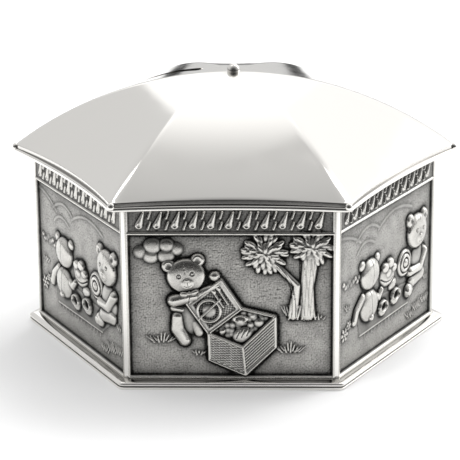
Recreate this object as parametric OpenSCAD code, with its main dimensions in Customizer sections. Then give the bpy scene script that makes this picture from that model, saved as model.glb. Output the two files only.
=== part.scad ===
// Tin money box: a hexagonal cast pewter box with a six-gored canopy roof.
// Origin at the centre of the underside, +Z up, two corners on the X axis, the front panel facing -Y.

/* [Walls] */
// Radius of the walls, from the centre to a corner
wall_r = 55; // [45:0.5:70]
// Height of the top of the walls
wall_top = 49.1; // [40:0.1:70]
// Thickness of a cast panel
panel_t = 2.2; // [1.8:0.1:3]
// Width of a polished corner strip
strip_w = 1.4; // [1:0.1:3]

/* [Panels] */
// Depth of the picture window in a panel
window_depth = 0.9; // [0.4:0.1:1.2]
// Width of the raised frame at each side of the window
frame_w = 0.45; // [0.3:0.05:2]
// Height of the ornament band above the picture window
band_h = 6.6; // [4:0.1:10]
// Depth of the ornament band
band_depth = 0.4; // [0.2:0.1:0.8]

/* [Base] */
// How far the base corners stand out past the wall corners
base_ledge = 2.74; // [1:0.02:6]
// Height of the flat bottom of the chamber
base_t = 2.3; // [2:0.1:4]
// Depth of the recess in the underside
foot_recess = 1.1; // [0.8:0.1:1.3]
// Width of the foot that the box stands on
foot_w = 4.7; // [3:0.1:8]
// Radius of the hole that the coins come out of
outlet_r = 17; // [14:0.5:22]

/* [Roof] */
// Radius of the roof rim at its corners
rim_r = 60.5; // [57:0.5:66]
// Thickness of the roof rim
rim_t = 1.2; // [0.8:0.1:2]
// How far the rim bows in at the middle of each side
rim_bow = 1.9; // [1:0.1:4]
// Height of the roof's highest point, without the finial
apex_z = 71.6; // [68:0.1:80]
// Radius of the arc that each ridge follows
ridge_arc = 99; // [85:1:130]
// Radius of the canopy at its corners
canopy_r = 60; // [56:0.5:65]
// Thickness of the canopy
canopy_t = 1.3; // [1:0.1:2]
// How far the gores dish in between the ridges, as a share of the radius, at the eave
eave_dish = 0.042; // [0.02:0.002:0.06]
// The same near the apex
apex_dish = 0.054; // [0.02:0.002:0.06]

/* [Coin slot] */
// Width of the coin slot
slot_w = 3.2; // [2.6:0.1:3.8]
// Distance from the apex to the near end of the slot
slot_start = 10; // [6:0.5:15]
// Distance from the apex to the far end of the slot
slot_end = 42; // [36:0.5:46]
// Direction of the gore that holds the slot
slot_angle = 150; // [30:60:330]

/* [Finial and rib tips] */
// Radius of the finial ball
finial_r = 1.75; // [1.2:0.05:3]
// Radius of the finial's rivet stem
stem_r = 0.8; // [0.5:0.1:1]
// Radius of the peg at each roof corner
tip_r = 0.95; // [0.6:0.05:1.2]

/* [Stopper] */
// Radial gap between the stopper's neck and the outlet
stopper_gap = 0.05; // [0.02:0.01:0.1]
// Radius of the stopper's flange
flange_r = 20; // [19:0.5:24]
// Height of the stopper's neck above the base recess
neck_h = 4; // [2:0.5:8]
// Wall thickness of the stopper's neck
neck_wall = 1.6; // [1.2:0.1:3]

/* [Hidden] */
$fn = 96;
SIDES = 6;
STEP = 360 / SIDES;
eps = 0.01;
over = 1;

panel_angles = [for (i = [0:SIDES - 1]) -90 + i * STEP];
corner_angles = [for (i = [0:SIDES - 1]) -120 + i * STEP];

// Walls
wall_apothem = wall_r * cos(STEP / 2);
wall_h = wall_top - base_t;
strip_out = wall_r - strip_w / 2 / tan(STEP);
strip_tuck = 0.3;
strip_in = (wall_apothem - panel_t) / cos(STEP / 2) - strip_tuck;
// Raised lines under the window, between it and the band, and above the band
sill = 0.5;
mid_line = 0.5;
top_line = 0.4;
window_h = wall_h - band_h - sill - mid_line - top_line;
band_low = sill + window_h + mid_line;

// Base
base_r = wall_r + base_ledge;
groove_low = 0.75;
groove_high = 1;
groove_depth = 0.35;
// The base's upper edge is a bullnose: how far in, and how high, at points up its curve
NOSE = [[0, 1.4], [0.08, 1.74], [0.32, 2.04], [0.68, 2.23], [1.1, base_t]];

// Roof
rim_low = wall_top;
rim_high = rim_low + rim_t;
rim_hole_r = (wall_apothem - panel_t) / cos(STEP / 2);
canopy_seat = 2.5;
eave_lift = 0.26;
// How much a ridge is rounded off, near the apex and at the eave
apex_round = 1.2;
eave_round = 3;
GORE = 12;
RING = SIDES * GORE;
OUT_STEPS = 22;
IN_STEPS = 16;
// Columns crowd towards the ridges
crowd = 1.8;
function column(i) = sign(i) * STEP / 2 * (1 - pow(1 - abs(i) / (GORE / 2), crowd));
columns = [for (s = [0:SIDES - 1], i = [-GORE / 2:GORE / 2 - 1]) (s + 0.5) * STEP + column(i)];

// Rib tips
tip_at = 59.5;
tip_low = 49.3;
tip_high = 51.5;

// Finial
finial_sink = 1.3;
rivet_r = 1.6;
rivet_h = 0.7;
rivet_gap = 0.08;
rivet_top = apex_z - canopy_t - rivet_gap;

// Stopper
stopper_lift = 0.25;
pull_r = 7.5;
pull_depth = 2.5;
pull_wall = 0.9;
pull_bar_w = 3;
pull_bar_t = 0.9;
neck_r = outlet_r - stopper_gap;

// A side with its ends at radius 1 that dishes in by d: the distance to it at angle a from its middle
function dished(a, d) =
    let (arc = (pow(sin(STEP / 2), 2) + d * d) / (2 * d), mid = cos(STEP / 2) - d + arc)
    mid * cos(a) - sqrt(max(0, arc * arc - pow(mid * sin(a), 2)));
// The lesser of two distances, rounded off where they differ by under k
function soft_min(s, t, k) = min(s, t) - pow(max(0, k - abs(s - t)), 2) / (4 * k);
// A dished side and its neighbour, with the ridge between them rounded off
function outline(a, d, k) = soft_min(dished(abs(a), d), dished(STEP - abs(a), d), k);
// Angle from the middle of the nearest side
function from_mid(a) = ((a + STEP) % STEP) - STEP / 2;
function dish_at(r) = apex_dish + (eave_dish - apex_dish) * r / canopy_r;
function round_at(r) = (apex_round + (eave_round - apex_round) * r / canopy_r) / max(r, 2 * apex_round);
function ridge_z(r) = apex_z - (ridge_arc - sqrt(ridge_arc * ridge_arc - r * r));
// The eave's mid sides stand a little higher than its corners
function lift_at(r, a) = eave_lift * pow(r / canopy_r, 4) * (1 - pow(2 * from_mid(a) / STEP, 2));
function canopy_point(r, a, drop) =
    let (d = r * outline(from_mid(a), dish_at(r), round_at(r)))
    [d * cos(a), d * sin(a), ridge_z(r) + lift_at(r, a) - drop];
function seat_point(r, a) =
    let (p = canopy_point(r, a, 0)) [p[0], p[1], rim_high];
function ring_of(k, j) = 1 + k * RING + (j % RING);

module hex_plate(r, z0, z1) {
    translate([0, 0, z0]) cylinder(r = r, h = z1 - z0, $fn = SIDES);
}

module base_plate() {
    color("gainsboro") difference() {
        union() {
            hex_plate(base_r, 0, groove_low);
            hex_plate(base_r - groove_depth, groove_low, groove_high);
            hex_plate(base_r, groove_high, NOSE[0][1]);
            for (i = [1:len(NOSE) - 1]) translate([0, 0, NOSE[i - 1][1]])
                cylinder(r1 = base_r - NOSE[i - 1][0], r2 = base_r - NOSE[i][0],
                    h = NOSE[i][1] - NOSE[i - 1][1], $fn = SIDES);
        }
        hex_plate(base_r - foot_w, -over, foot_recess);
        translate([0, 0, -over]) cylinder(r = outlet_r, h = base_t + 2 * over);
    }
}

module stopper() {
    color("dimgray") difference() {
        union() {
            translate([0, 0, stopper_lift]) cylinder(r = flange_r, h = foot_recess - stopper_lift);
            translate([0, 0, foot_recess - eps]) cylinder(r = neck_r, h = neck_h + eps);
        }
        // The hollow of the neck, round a raised dimple
        translate([0, 0, foot_recess + pull_wall]) difference() {
            cylinder(r = neck_r - neck_wall, h = neck_h);
            translate([0, 0, -over])
                cylinder(r = pull_r + pull_wall, h = pull_depth + stopper_lift - foot_recess + over);
        }
        // The dimple that a finger pulls in, with a bar across it
        difference() {
            translate([0, 0, -over]) cylinder(r = pull_r, h = pull_depth + stopper_lift + over);
            translate([-pull_r - over, -pull_bar_w / 2, stopper_lift])
                cube([2 * (pull_r + over), pull_bar_w, pull_bar_t]);
        }
    }
}

// Half the length of a panel at a distance from the box's centre, mitred to the strips
function half_side(d) = d * tan(STEP / 2) - strip_w / 2 / sin(STEP);

module panel(angle) {
    outer = half_side(wall_apothem);
    inner = half_side(wall_apothem - panel_t);
    opening = outer - frame_w;
    color("darkgray") rotate(angle + 90) translate([0, -wall_apothem, base_t]) difference() {
        linear_extrude(wall_h)
            polygon([[-outer, 0], [outer, 0], [inner, panel_t], [-inner, panel_t]]);
        translate([-opening, -over, sill]) cube([2 * opening, over + window_depth, window_h]);
        translate([-opening, -over, band_low]) cube([2 * opening, over + band_depth, band_h]);
    }
}

module corner_strip(angle) {
    color("gainsboro") rotate(angle) translate([strip_in, -strip_w / 2, base_t])
        cube([strip_out - strip_in, strip_w, wall_h]);
}

module roof_rim() {
    half_chord = rim_r * sin(STEP / 2);
    bow_arc = (half_chord * half_chord + rim_bow * rim_bow) / (2 * rim_bow);
    bow_mid = rim_r * cos(STEP / 2) - rim_bow + bow_arc;
    color("gainsboro") translate([0, 0, rim_low]) linear_extrude(rim_t) difference() {
        circle(r = rim_r, $fn = SIDES);
        for (a = panel_angles) rotate(a) translate([bow_mid, 0]) circle(r = bow_arc, $fn = 360);
        circle(r = rim_hole_r, $fn = SIDES);
        // Each corner ends at its peg
        for (a = corner_angles) rotate(a) translate([tip_at, 0]) {
            circle(r = tip_r);
            translate([0, -rim_r / 2]) square([rim_r, rim_r]);
        }
    }
}

// The shell between an outer and an inner dished dome, with a flat seat on the rim
module canopy_shell() {
    in_r = canopy_r - canopy_seat;
    outer = [for (i = [1:OUT_STEPS], a = columns) canopy_point(canopy_r * i / OUT_STEPS, a, 0)];
    seat = [for (r = [canopy_r, in_r], a = columns) seat_point(r, a)];
    inner = [for (i = [IN_STEPS:-1:1], a = columns) canopy_point(in_r * i / IN_STEPS, a, canopy_t)];
    rings = OUT_STEPS + 2 + IN_STEPS;
    last = 1 + rings * RING;
    polyhedron(
        points = concat([[0, 0, apex_z]], outer, seat, inner, [[0, 0, apex_z - canopy_t]]),
        faces = concat(
            [for (j = [0:RING - 1]) [0, ring_of(0, j + 1), ring_of(0, j)]],
            [for (k = [0:rings - 2], j = [0:RING - 1], half = [0, 1])
                half == 0
                    ? [ring_of(k, j), ring_of(k, j + 1), ring_of(k + 1, j + 1)]
                    : [ring_of(k, j), ring_of(k + 1, j + 1), ring_of(k + 1, j)]],
            [for (j = [0:RING - 1]) [last, ring_of(rings - 1, j), ring_of(rings - 1, j + 1)]]));
}

module coin_slot() {
    end_r = slot_w / 2;
    rotate(slot_angle) linear_extrude(apex_z + over) {
        translate([slot_start + end_r, -end_r]) square([slot_end - slot_start - slot_w, slot_w]);
        for (x = [slot_start + end_r, slot_end - end_r]) translate([x, 0]) circle(r = end_r);
    }
}

module canopy() {
    color("whitesmoke") difference() {
        canopy_shell();
        coin_slot();
        translate([0, 0, apex_z - canopy_t - over]) cylinder(r = stem_r, h = canopy_t + 2 * over);
        for (a = corner_angles) rotate(a) translate([tip_at, 0, rim_low]) cylinder(r = tip_r, h = tip_high);
    }
}

// A round-ended peg that ties the corner of the canopy to the corner of the rim
module rib_tip(angle) {
    color("gainsboro") rotate(angle) translate([tip_at, 0, 0]) {
        for (z = [tip_low + tip_r, tip_high - tip_r]) translate([0, 0, z]) sphere(r = tip_r);
        translate([0, 0, tip_low + tip_r]) cylinder(r = tip_r, h = tip_high - tip_low - 2 * tip_r);
    }
}

module finial() {
    color("whitesmoke") {
        intersection() {
            translate([0, 0, apex_z + finial_r - finial_sink]) sphere(r = finial_r);
            translate([0, 0, apex_z]) cylinder(r = finial_r + over, h = 2 * finial_r);
        }
        translate([0, 0, rivet_top - eps]) cylinder(r = stem_r, h = canopy_t + rivet_gap + 2 * eps);
        translate([0, 0, rivet_top - rivet_h]) cylinder(r = rivet_r, h = rivet_h);
    }
}

base_plate();
stopper();
panel(panel_angles[0]);  // panel_front
panel(panel_angles[1]);  // panel_front_right
panel(panel_angles[2]);  // panel_back_right
panel(panel_angles[3]);  // panel_back
panel(panel_angles[4]);  // panel_back_left
panel(panel_angles[5]);  // panel_front_left
corner_strip(corner_angles[0]);  // strip_front_left
corner_strip(corner_angles[1]);  // strip_front_right
corner_strip(corner_angles[2]);  // strip_right
corner_strip(corner_angles[3]);  // strip_back_right
corner_strip(corner_angles[4]);  // strip_back_left
corner_strip(corner_angles[5]);  // strip_left
roof_rim();
canopy();
rib_tip(corner_angles[0]);  // tip_front_left
rib_tip(corner_angles[1]);  // tip_front_right
rib_tip(corner_angles[2]);  // tip_right
rib_tip(corner_angles[3]);  // tip_back_right
rib_tip(corner_angles[4]);  // tip_back_left
rib_tip(corner_angles[5]);  // tip_left
finial();
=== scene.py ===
"""Looks of a hexagonal cast pewter money box: relief panels, moulded base, domed canopy roof and stopper."""

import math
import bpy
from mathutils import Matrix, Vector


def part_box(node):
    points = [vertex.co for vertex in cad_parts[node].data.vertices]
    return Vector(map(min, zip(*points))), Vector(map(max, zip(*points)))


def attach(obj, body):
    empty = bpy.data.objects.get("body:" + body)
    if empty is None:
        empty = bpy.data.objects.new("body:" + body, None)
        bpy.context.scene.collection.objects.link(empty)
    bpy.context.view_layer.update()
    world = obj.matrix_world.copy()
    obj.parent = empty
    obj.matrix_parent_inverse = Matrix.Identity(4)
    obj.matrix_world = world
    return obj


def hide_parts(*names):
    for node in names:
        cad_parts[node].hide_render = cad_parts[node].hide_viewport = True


bl_info = {
    "name": "Pewter Money Box",
    "version": (1, 0, 0),
    "blender": (4, 5, 0),
    "location": "View3D > Sidebar > Money Box",
    "description": "Builds the visible pieces of a hexagonal pewter money box round its packed model",
    "category": "Add Mesh",
}

import bmesh
import bpy
import numpy as np
from mathutils import Matrix, Vector

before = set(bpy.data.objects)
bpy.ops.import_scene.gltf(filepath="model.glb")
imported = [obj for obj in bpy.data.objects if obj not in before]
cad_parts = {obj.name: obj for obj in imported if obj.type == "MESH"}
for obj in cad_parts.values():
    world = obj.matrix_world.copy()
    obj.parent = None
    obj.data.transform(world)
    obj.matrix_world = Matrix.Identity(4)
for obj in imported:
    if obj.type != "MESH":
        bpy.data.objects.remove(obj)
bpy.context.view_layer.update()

MM = 0.001
SIDES = 6
STEP = math.tau / SIDES
BODY = "box"
SIDE_NAMES = ("front", "front_right", "back_right", "back", "back_left", "front_left")
CORNER_NAMES = ("front_left", "front_right", "right", "back_right", "back_left", "left")
PANEL_ANGLES = [math.radians(-90) + i * STEP for i in range(SIDES)]
CORNER_ANGLES = [math.radians(-120) + i * STEP for i in range(SIDES)]


def high(node):
    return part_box(node)[1]


def low(node):
    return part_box(node)[0]


# ---------------------------------------------------------------- settings


def length(name, size, description):
    """A setting that is a length, with its default in millimetres."""
    return bpy.props.FloatProperty(name=name, description=description, default=size * MM, unit="LENGTH")


class MoneyBoxRoof(bpy.types.PropertyGroup):
    ridge_arc: length("Ridge arc", 99, "Radius of the arc that each ridge follows")
    canopy_radius: length("Canopy radius", 60, "From the middle to a sharp corner of the canopy")
    canopy_wall: length("Canopy wall", 1.3, "Thickness of the cast shell")
    eave_dish: bpy.props.FloatProperty(
        name="Eave dish", description="How far a gore dishes in at the eave, as a share of the radius",
        default=0.042,
    )
    apex_dish: bpy.props.FloatProperty(
        name="Apex dish", description="How far a gore dishes in near the apex, as a share of the radius",
        default=0.054,
    )
    eave_round: length("Ridge softness", 3, "How much a ridge is rounded off at the eave")
    apex_round: length("Apex softness", 1.2, "How much a ridge is rounded off near the apex")
    eave_lift: length("Eave lift", 0.26, "How far the middle of each eave stands above its corners")
    eave_roll: length("Eave roll", 0.5, "Radius of the rolled lower edge of the canopy")
    rim_radius: length("Rim radius", 60.5, "From the middle to a sharp corner of the rim")
    rim_bow: length("Rim bow", 1.9, "How far each side of the rim bows in")
    slot_width: length("Slot width", 3.2, "Width of the coin slot")
    slot_start: length("Slot start", 10, "From the apex to the near end of the coin slot")
    slot_end: length("Slot end", 42, "From the apex to the far end of the coin slot")


class MoneyBoxRelief(bpy.types.PropertyGroup):
    window_depth: length("Window depth", 0.9, "Depth of the picture's ground below the frame")
    band_depth: length("Band depth", 0.4, "Depth of the ornament band's ground below the frame")
    band_height: length("Band height", 6.6, "Height of the ornament band")
    frame_width: length("Frame width", 0.45, "Width of the raised frame at the sides of a picture")
    grain: length("Ground grain", 0.46, "Pitch of the hammered grain of the ground")
    columns: bpy.props.IntProperty(name="Columns", description="Cells across a panel", default=320)
    rows: bpy.props.IntProperty(name="Rows", description="Cells up a panel", default=280)


class MoneyBoxFinish(bpy.types.PropertyGroup):
    bright: bpy.props.StringProperty(name="Bright pewter", description="sRGB colour of the polished metal",
                                     default="#eceae6")
    rubbed: bpy.props.StringProperty(name="Rubbed pewter", description="sRGB colour of rubbed relief tops",
                                     default="#d9d7d2")
    toned: bpy.props.StringProperty(name="Toned pewter", description="sRGB colour of half rubbed metal",
                                    default="#8f8e8b")
    # The patina left in the panels' recesses; the same colour is the painted shade in the seams of the
    # polished parts
    patina: bpy.props.StringProperty(name="Patina", description="sRGB colour of the darkened recesses",
                                     default="#161615")
    plastic: bpy.props.StringProperty(name="Stopper plastic", description="sRGB colour of the stopper",
                                      default="#2c2d2e")
    polish: bpy.props.FloatProperty(name="Polish roughness", description="Roughness of the polished metal",
                                    default=0.11, min=0, max=1)


def angle(name, degrees, description):
    """A setting that is an angle, with its default in degrees."""
    return bpy.props.FloatProperty(
        name=name, description=description, default=math.radians(degrees), subtype="ANGLE"
    )


def power(name, watts, description):
    """A setting that is the power of a light."""
    return bpy.props.FloatProperty(name=name, description=description, default=watts, unit="POWER")


class MoneyBoxStage(bpy.types.PropertyGroup):
    lens: bpy.props.FloatProperty(name="Lens", description="Focal length", default=175.5, unit="CAMERA")
    distance: length("Distance", 617.6, "From the camera to the point it looks at")
    aim: bpy.props.FloatVectorProperty(name="Aim", description="The point the camera looks at",
                                       default=(-1.3 * MM, 0, 26.4 * MM), subtype="XYZ", unit="LENGTH")
    elevation: angle("Elevation", 19.19, "Camera angle above the table")
    azimuth: angle("Azimuth", 1.49, "Camera angle round the box")
    roll: angle("Roll", -0.46, "Camera tilt about its own axis")
    key_power: power("Key light", 9.0, "Power of the light behind on the right")
    fill_power: power("Fill light", 6.5, "Power of the light in front on the left")
    strip_power: power("Strip lights", 0.35, "Power of each strip light overhead")


# ---------------------------------------------------------------- helpers


def linear(hex_colour):
    """The linear RGBA of an sRGB hex colour."""
    parts = [int(hex_colour[i : i + 2], 16) / 255 for i in (1, 3, 5)]
    return (*[c / 12.92 if c <= 0.04045 else ((c + 0.055) / 1.055) ** 2.4 for c in parts], 1)


def new_mesh(name, bm):
    mesh = bpy.data.meshes.new(name)
    bm.to_mesh(mesh)
    bm.free()
    return mesh


def settle(mesh, name, node, material, body=BODY):
    """Makes the piece that stands for a CAD node, on that node's body."""
    piece = bpy.data.objects.new(name, mesh)
    bpy.context.scene.collection.objects.link(piece)
    mesh.materials.clear()
    mesh.materials.append(material)
    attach(piece, body)
    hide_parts(node)
    return piece


def painted_shade(mesh, amount):
    """Stores painted shade at each point, how far the metal is darkened, from 0 to 1, as a function of its
    place.
    """
    values = [min(1, max(0, amount(v.co))) for v in mesh.vertices]
    mesh.attributes.new("painted_shade", "FLOAT", "POINT").data.foreach_set("value", values)


def shade(bm, angle=math.radians(32)):
    """Smooth faces, with sharp edges where they meet at more than this angle."""
    for face in bm.faces:
        face.smooth = True
    for edge in bm.edges:
        edge.smooth = len(edge.link_faces) == 2 and edge.calc_face_angle(0) < angle


def from_mid(angle):
    """Angle from the middle of the nearest side, where the corners are at multiples of a step."""
    return (angle + STEP) % STEP - STEP / 2


def dished(angle, dish):
    """Distance to a side whose ends are at radius 1 and which dishes in, at an angle from its middle."""
    arc = (math.sin(STEP / 2) ** 2 + dish**2) / (2 * dish)
    mid = math.cos(STEP / 2) - dish + arc
    return mid * math.cos(angle) - math.sqrt(max(0, arc**2 - (mid * math.sin(angle)) ** 2))


def straight(angle):
    """The same for a straight side."""
    return math.cos(STEP / 2) / max(math.cos(angle), 0.05)


def soft_min(a, b, k):
    """The lesser of two distances, rounded off where they differ by under k."""
    return min(a, b) - max(0, k - abs(a - b)) ** 2 / (4 * k)


def hexagon(radius, rounding, side=straight):
    """An outline: radius as a function of angle, with its corners rounded off."""

    def outline(angle):
        a = abs(from_mid(angle))
        return radius * soft_min(side(a), side(STEP - a), max(rounding / radius, 1e-6))

    return outline


def ring(radius):
    return lambda angle: radius


def column_angles(per_side, crowd=1.0):
    """Angles round a hexagon, crowded towards its corners, which are at multiples of a step."""
    half = per_side // 2
    spread = [math.copysign(STEP / 2 * (1 - (1 - abs(i) / half) ** crowd), i) for i in range(-half, half)]
    return [(s + 0.5) * STEP + a for s in range(SIDES) for a in spread]


def loft(sections, angles, closed=False):
    """A shell through sections, each a function from an angle to a radius and a height, as a bmesh."""
    bm = bmesh.new()
    bmesh.ops.create_circle(bm, segments=len(angles), radius=1)
    bm.verts.ensure_lookup_table()
    loop, edges = list(bm.verts), list(bm.edges)
    first = edges

    def place(verts, section):
        for vert, angle in zip(verts, angles):
            radius, z = section(angle)
            vert.co = (radius * math.cos(angle), radius * math.sin(angle), z)

    place(loop, sections[0])
    for section in sections[1:]:
        made = bmesh.ops.extrude_edge_only(bm, edges=edges)["geom"]
        edges = [g for g in made if isinstance(g, bmesh.types.BMEdge) and g.is_boundary]
        fresh = {g for g in made if isinstance(g, bmesh.types.BMVert)}
        loop = [next(e.other_vert(v) for e in v.link_edges if e.other_vert(v) in fresh) for v in loop]
        place(loop, section)
    if closed:
        bmesh.ops.bridge_loops(bm, edges=first + edges)
    else:
        for ends in (first, edges):
            bmesh.ops.contextual_create(bm, geom=ends)
    bmesh.ops.recalc_face_normals(bm, faces=bm.faces)
    return bm


def at(outline, z):
    """A section of a loft: an outline at one height."""
    return lambda angle: (outline(angle), z)


def rounded(radius, z, size, start, end, steps, make):
    """Sections round an edge, along an arc about radius and z, where make(radius) gives an outline."""
    turns = [start + (end - start) * i / steps for i in range(steps + 1)]
    return [at(make(radius + size * math.cos(t)), z + size * math.sin(t)) for t in turns]


# ---------------------------------------------------------------- materials


def add(tree, kind, inputs=None, **settings):
    """Adds a node. An input that is given a socket is linked to it, and any other is set."""
    node = tree.nodes.new(kind)
    for key, value in settings.items():
        setattr(node, key, value)
    for key, value in (inputs or {}).items():
        if isinstance(value, bpy.types.NodeSocket):
            tree.links.new(value, node.inputs[key])
        else:
            node.inputs[key].default_value = value
    return node


def span(tree, value, start, end, low_out=0.0, high_out=1.0, soft=True):
    """A value's share of the way from start to end, as a level from low_out to high_out."""
    ranged = add(tree, "ShaderNodeMapRange", {"Value": value, "From Min": start, "From Max": end,
                                              "To Min": low_out, "To Max": high_out})
    ranged.interpolation_type = "SMOOTHSTEP" if soft else "LINEAR"
    return ranged.outputs["Result"]


def blank(name):
    material = bpy.data.materials.new(name)
    material.use_nodes = True
    tree = material.node_tree
    tree.nodes.clear()
    return material, tree


def surface_shader(tree, inputs):
    shader = add(tree, "ShaderNodeBsdfPrincipled", inputs)
    add(tree, "ShaderNodeOutputMaterial", {"Surface": shader.outputs["BSDF"]})


def buffed_pewter(finish):
    """Lead-free pewter, cast and buffed: a warm white metal with a soft gloss and very fine buffing marks,
    darkened by painted shade where a piece says so.
    """
    material, tree = blank("buffed_pewter")
    where = add(tree, "ShaderNodeTexCoord").outputs["Object"]
    # Buffing leaves faint clouds of more and less gloss about 9 mm across
    clouds = add(tree, "ShaderNodeTexNoise", {"Vector": where, "Scale": 1 / (9 * MM), "Detail": 3.0})
    gloss = span(tree, clouds.outputs["Fac"], 0.3, 0.7, finish.polish - 0.02, finish.polish + 0.03)
    # Buffing marks are finer than can be drawn, so they are drawn 0.5 mm apart and very shallow
    marks = add(tree, "ShaderNodeTexNoise", {"Vector": where, "Scale": 1 / (0.5 * MM), "Detail": 2.0})
    bump = add(tree, "ShaderNodeBump", {"Height": marks.outputs["Fac"], "Strength": 0.05,
                                        "Distance": 0.02 * MM})
    # Painted shade: the metal turns towards the patina colour in seams and under overhangs, where the piece
    # says so
    painted_shade = add(tree, "ShaderNodeAttribute", attribute_name="painted_shade").outputs["Fac"]
    tint = add(tree, "ShaderNodeValToRGB", {"Fac": painted_shade})
    tint.color_ramp.elements[0].color = linear(finish.bright)
    tint.color_ramp.elements[1].color = linear(finish.patina)
    surface_shader(tree, {"Base Color": tint.outputs["Color"], "Metallic": 1.0, "Roughness": gloss,
                          "Normal": bump.outputs["Normal"]})
    return material


def blackened_pewter(finish):
    """Cast pewter blackened and rubbed back: dark in the recesses, bright on the high spots."""
    material, tree = blank("blackened_pewter")
    where = add(tree, "ShaderNodeTexCoord").outputs["Object"]
    wear = add(tree, "ShaderNodeAttribute", attribute_name="wear").outputs["Fac"]
    # The rubbing is uneven, in patches about 3 mm across, with specks about 0.4 mm across
    patches = add(tree, "ShaderNodeTexNoise", {"Vector": where, "Scale": 1 / (3 * MM), "Detail": 2.0})
    specks = add(tree, "ShaderNodeTexNoise", {"Vector": where, "Scale": 1 / (0.4 * MM), "Detail": 2.0})
    uneven = add(tree, "ShaderNodeMath", {0: patches.outputs["Fac"], 1: specks.outputs["Fac"]},
                 operation="ADD")
    change = span(tree, uneven.outputs["Value"], 0.6, 1.4, -0.1, 0.1, soft=False)
    rubbed = add(tree, "ShaderNodeMath", {0: wear, 1: change}, operation="ADD", use_clamp=True)
    rubbed = rubbed.outputs["Value"]
    tint = add(tree, "ShaderNodeValToRGB", {"Fac": rubbed})
    tint.color_ramp.elements[0].color = linear(finish.patina)
    tint.color_ramp.elements[1].color = linear(finish.rubbed)
    tint.color_ramp.elements.new(0.5).color = linear(finish.toned)
    bump = add(tree, "ShaderNodeBump", {"Height": specks.outputs["Fac"], "Strength": 0.3,
                                        "Distance": 0.04 * MM})
    surface_shader(tree, {"Base Color": tint.outputs["Color"], "Metallic": 1.0,
                          "Roughness": span(tree, rubbed, 0.2, 0.95, 0.55, 0.24),
                          "Normal": bump.outputs["Normal"]})
    return material


def moulded_plastic(finish):
    """Soft PVC, moulded in a spark-eroded tool: matt, with a fine even grain."""
    material, tree = blank("moulded_plastic")
    where = add(tree, "ShaderNodeTexCoord").outputs["Object"]
    # Tool grain about 0.3 mm
    grain = add(tree, "ShaderNodeTexNoise", {"Vector": where, "Scale": 1 / (0.3 * MM), "Detail": 2.0})
    bump = add(tree, "ShaderNodeBump", {"Height": grain.outputs["Fac"], "Strength": 0.4,
                                        "Distance": 0.03 * MM})
    surface_shader(tree, {"Base Color": linear(finish.plastic), "IOR": 1.53,
                          "Roughness": span(tree, grain.outputs["Fac"], 0.3, 0.7, 0.48, 0.6),
                          "Normal": bump.outputs["Normal"]})
    return material


def finish_material(make):
    """A finish made once, by the name of its function."""
    found = bpy.data.materials.get(make.__name__)
    return found or make(bpy.context.scene.money_box_finish)


# ---------------------------------------------------------------- relief


class Relief:
    """Heights in millimetres over a panel's grid. u runs across from its middle, and v up from the table."""

    def __init__(self, u, v):
        self.u, self.v = u, v
        self.h = np.zeros_like(u)

    def add(self, profile, top, base=0.0):
        """Raises the relief to base plus the profile's share of top, where that is higher."""
        self.h = np.where(profile > 0, np.maximum(self.h, base + top * profile), self.h)

    def cut(self, profile, depth):
        self.h = self.h - depth * profile

    def turned(self, u, v, turn):
        c, s = math.cos(math.radians(turn)), math.sin(math.radians(turn))
        du, dv = self.u - u, self.v - v
        return du * c + dv * s, dv * c - du * s

    def dome(self, u, v, ru, rv=None, turn=0, power=2.0):
        """A round or oval bump, flatter on top for a higher power."""
        du, dv = self.turned(u, v, turn)
        q = np.abs(du / ru) ** 2 + np.abs(dv / (rv or ru)) ** 2
        return np.sqrt(np.clip(1 - q ** (power / 2), 0, 1))

    def limb(self, points, radii):
        """A round bar along points, with a radius at each."""
        best = np.zeros_like(self.u)
        for (a, b), (c, d), ra, rb in zip(points, points[1:], radii, radii[1:]):
            length2 = max((c - a) ** 2 + (d - b) ** 2, 1e-9)
            t = np.clip(((self.u - a) * (c - a) + (self.v - b) * (d - b)) / length2, 0, 1)
            away2 = (self.u - a - t * (c - a)) ** 2 + (self.v - b - t * (d - b)) ** 2
            best = np.maximum(best, 1 - away2 / (ra + t * (rb - ra)) ** 2)
        return np.sqrt(np.clip(best, 0, 1))

    def curve(self, a, b, c, width, steps=8):
        """A thin bar along a bend from a by b to c."""
        ts = [i / steps for i in range(steps + 1)]
        points = [
            tuple((1 - t) ** 2 * a[k] + 2 * t * (1 - t) * b[k] + t * t * c[k] for k in (0, 1)) for t in ts
        ]
        return self.limb(points, [width] * len(points))

    def plate(self, corners, bevel=0.3):
        """A flat plate with these corners, counterclockwise, and a bevelled edge."""
        inside = np.full_like(self.u, 1e9)
        for (a, b), (c, d) in zip(corners, corners[1:] + corners[:1]):
            length = math.hypot(c - a, d - b)
            inside = np.minimum(inside, ((c - a) * (self.v - b) - (d - b) * (self.u - a)) / length)
        return np.clip(inside / bevel, 0, 1)

    def torus(self, u, v, ru, rv, width, turn=0):
        """A raised ring."""
        du, dv = self.turned(u, v, turn)
        away = (np.hypot(du / ru, dv / rv) - 1) * min(ru, rv)
        return np.sqrt(np.clip(1 - (away / width) ** 2, 0, 1))


def noise_cells(u, v, pitch, seed):
    """Domes packed at about this pitch, from jittered cell centres that depend only on the seed."""
    iu, iv = np.floor(u / pitch), np.floor(v / pitch)
    nearest = np.full_like(u, 9.0)
    for du in (-1, 0, 1):
        for dv in (-1, 0, 1):
            cu, cv = iu + du, iv + dv
            mix = np.sin(cu * 127.1 + cv * 311.7 + seed * 74.7) * 43758.5453
            mix2 = np.sin(cu * 269.5 + cv * 183.3 + seed * 19.3) * 24634.6345
            ju, jv = 0.2 + 0.6 * (mix - np.floor(mix)), 0.2 + 0.6 * (mix2 - np.floor(mix2))
            nearest = np.minimum(nearest, np.hypot(u / pitch - cu - ju, v / pitch - cv - jv))
    return np.clip(1 - nearest**2, 0, 1)


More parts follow.
